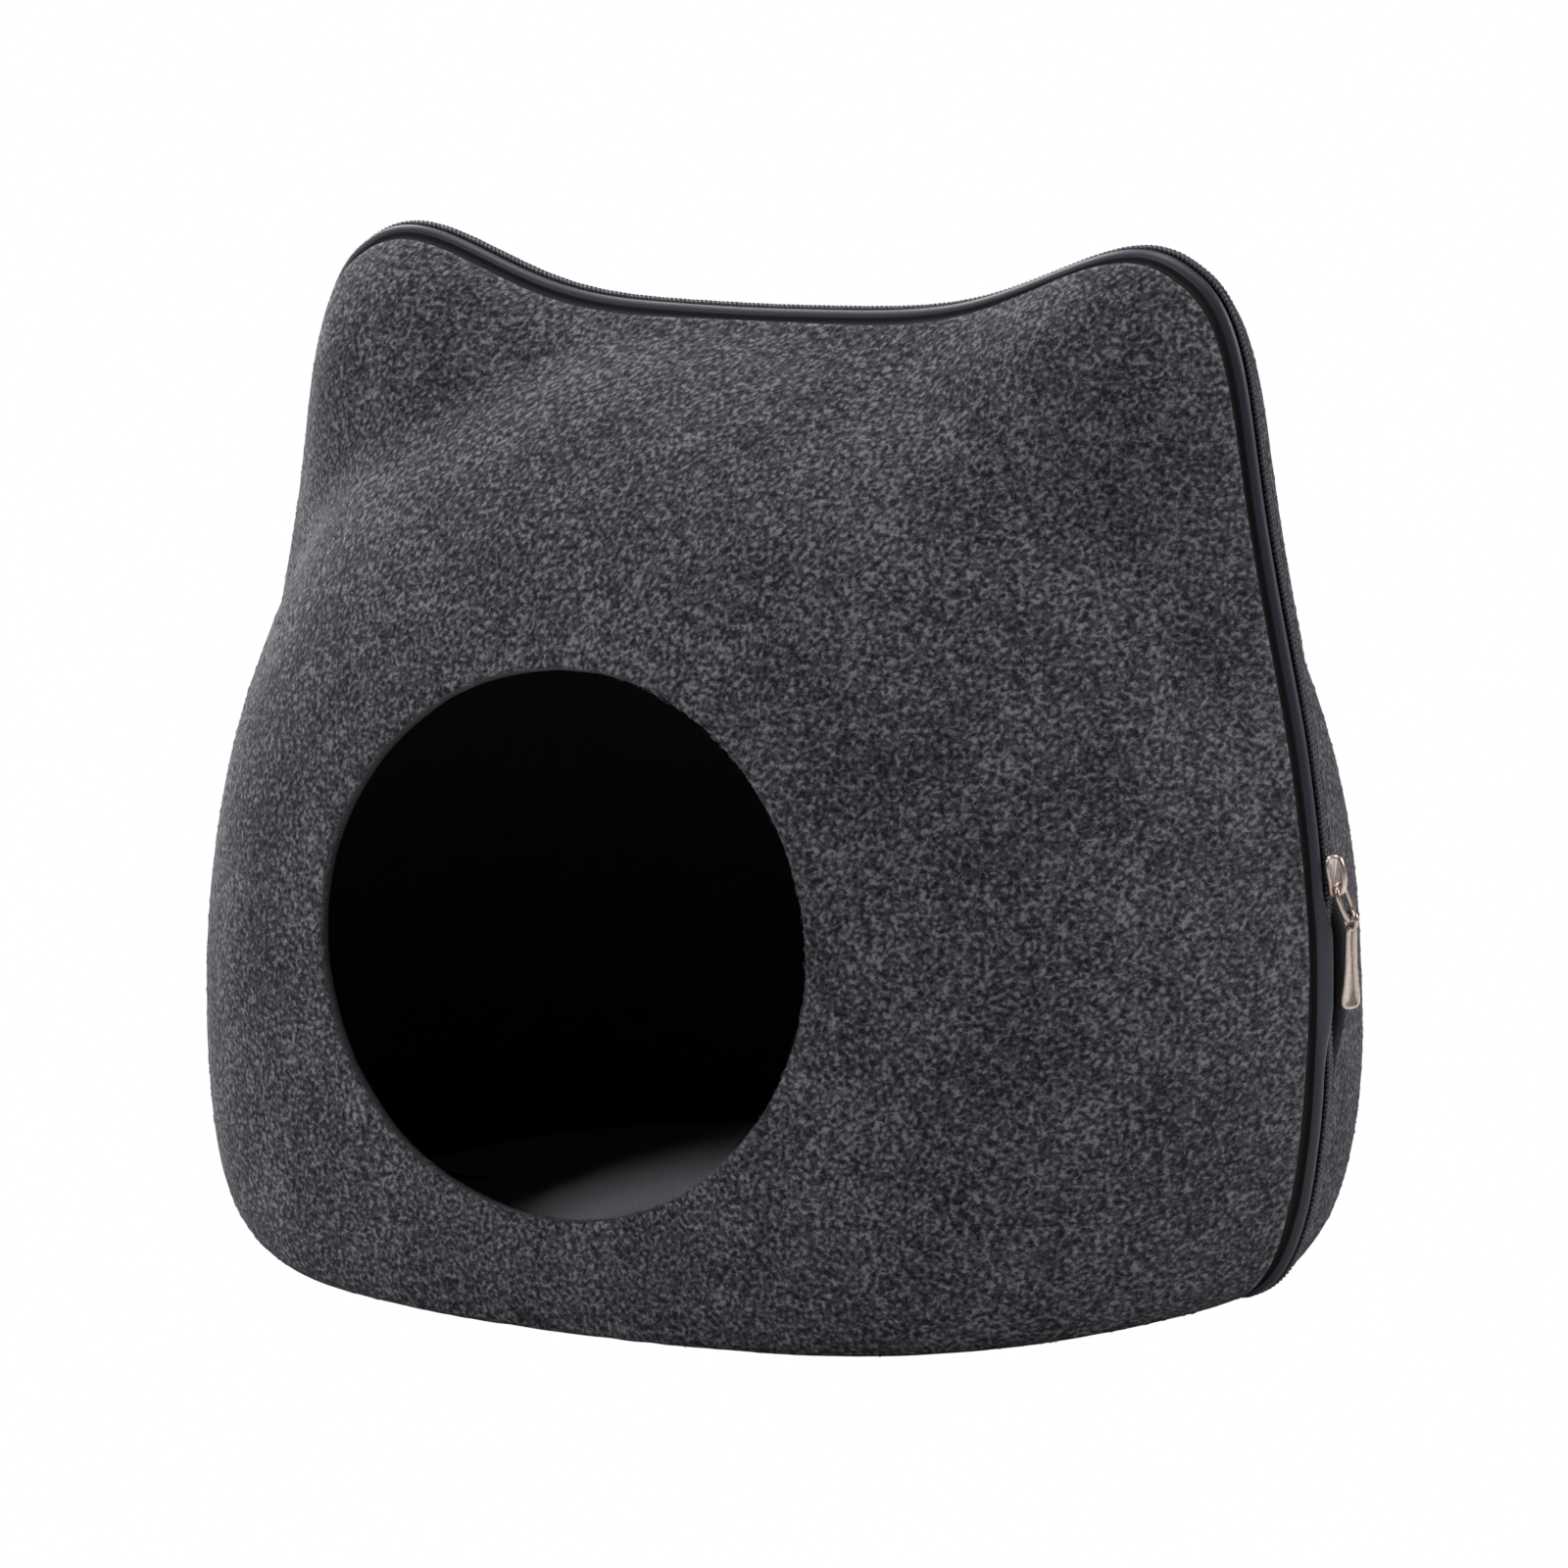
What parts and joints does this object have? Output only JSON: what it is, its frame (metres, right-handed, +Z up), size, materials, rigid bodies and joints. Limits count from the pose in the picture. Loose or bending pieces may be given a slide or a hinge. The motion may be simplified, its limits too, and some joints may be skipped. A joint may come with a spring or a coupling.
{
  "type": "felt cat cave",
  "caption": "Free-standing moulded felt cave for a cat, with a cat-head outline, a round doorway and a zip that joins its front and back shells.",
  "frame": {"origin": "on the surface that the cave stands on, under the middle of the zip", "axes": "+X to the side that carries the zip slider, +Y to the closed back, the doorway faces -Y, +Z up"},
  "size_m": [0.4773, 0.3588, 0.3913],
  "materials": {
    "felt": "needle-punched charcoal heather felt, fuzzy and matt",
    "satin_tape": "tightly woven dark satin fold with a soft sheen",
    "plain_tape": "dark woven tape, matt",
    "coil": "dark nylon coil",
    "metal": "cast zinc, plated in warm pale nickel, polished",
    "lining": "smooth dark lining cloth"
  },
  "bodies": {
    "root": {"front_shell": "felt", "back_shell": "felt", "front_tape": "satin_tape", "back_tape": "plain_tape", "coil_front": "coil", "coil_back": "coil", "zip_slider": "metal", "pull_link": "metal", "pull_tab": "metal", "base_hinge": "plain_tape", "floor_lining": "lining"}
  },
  "joints": []
}
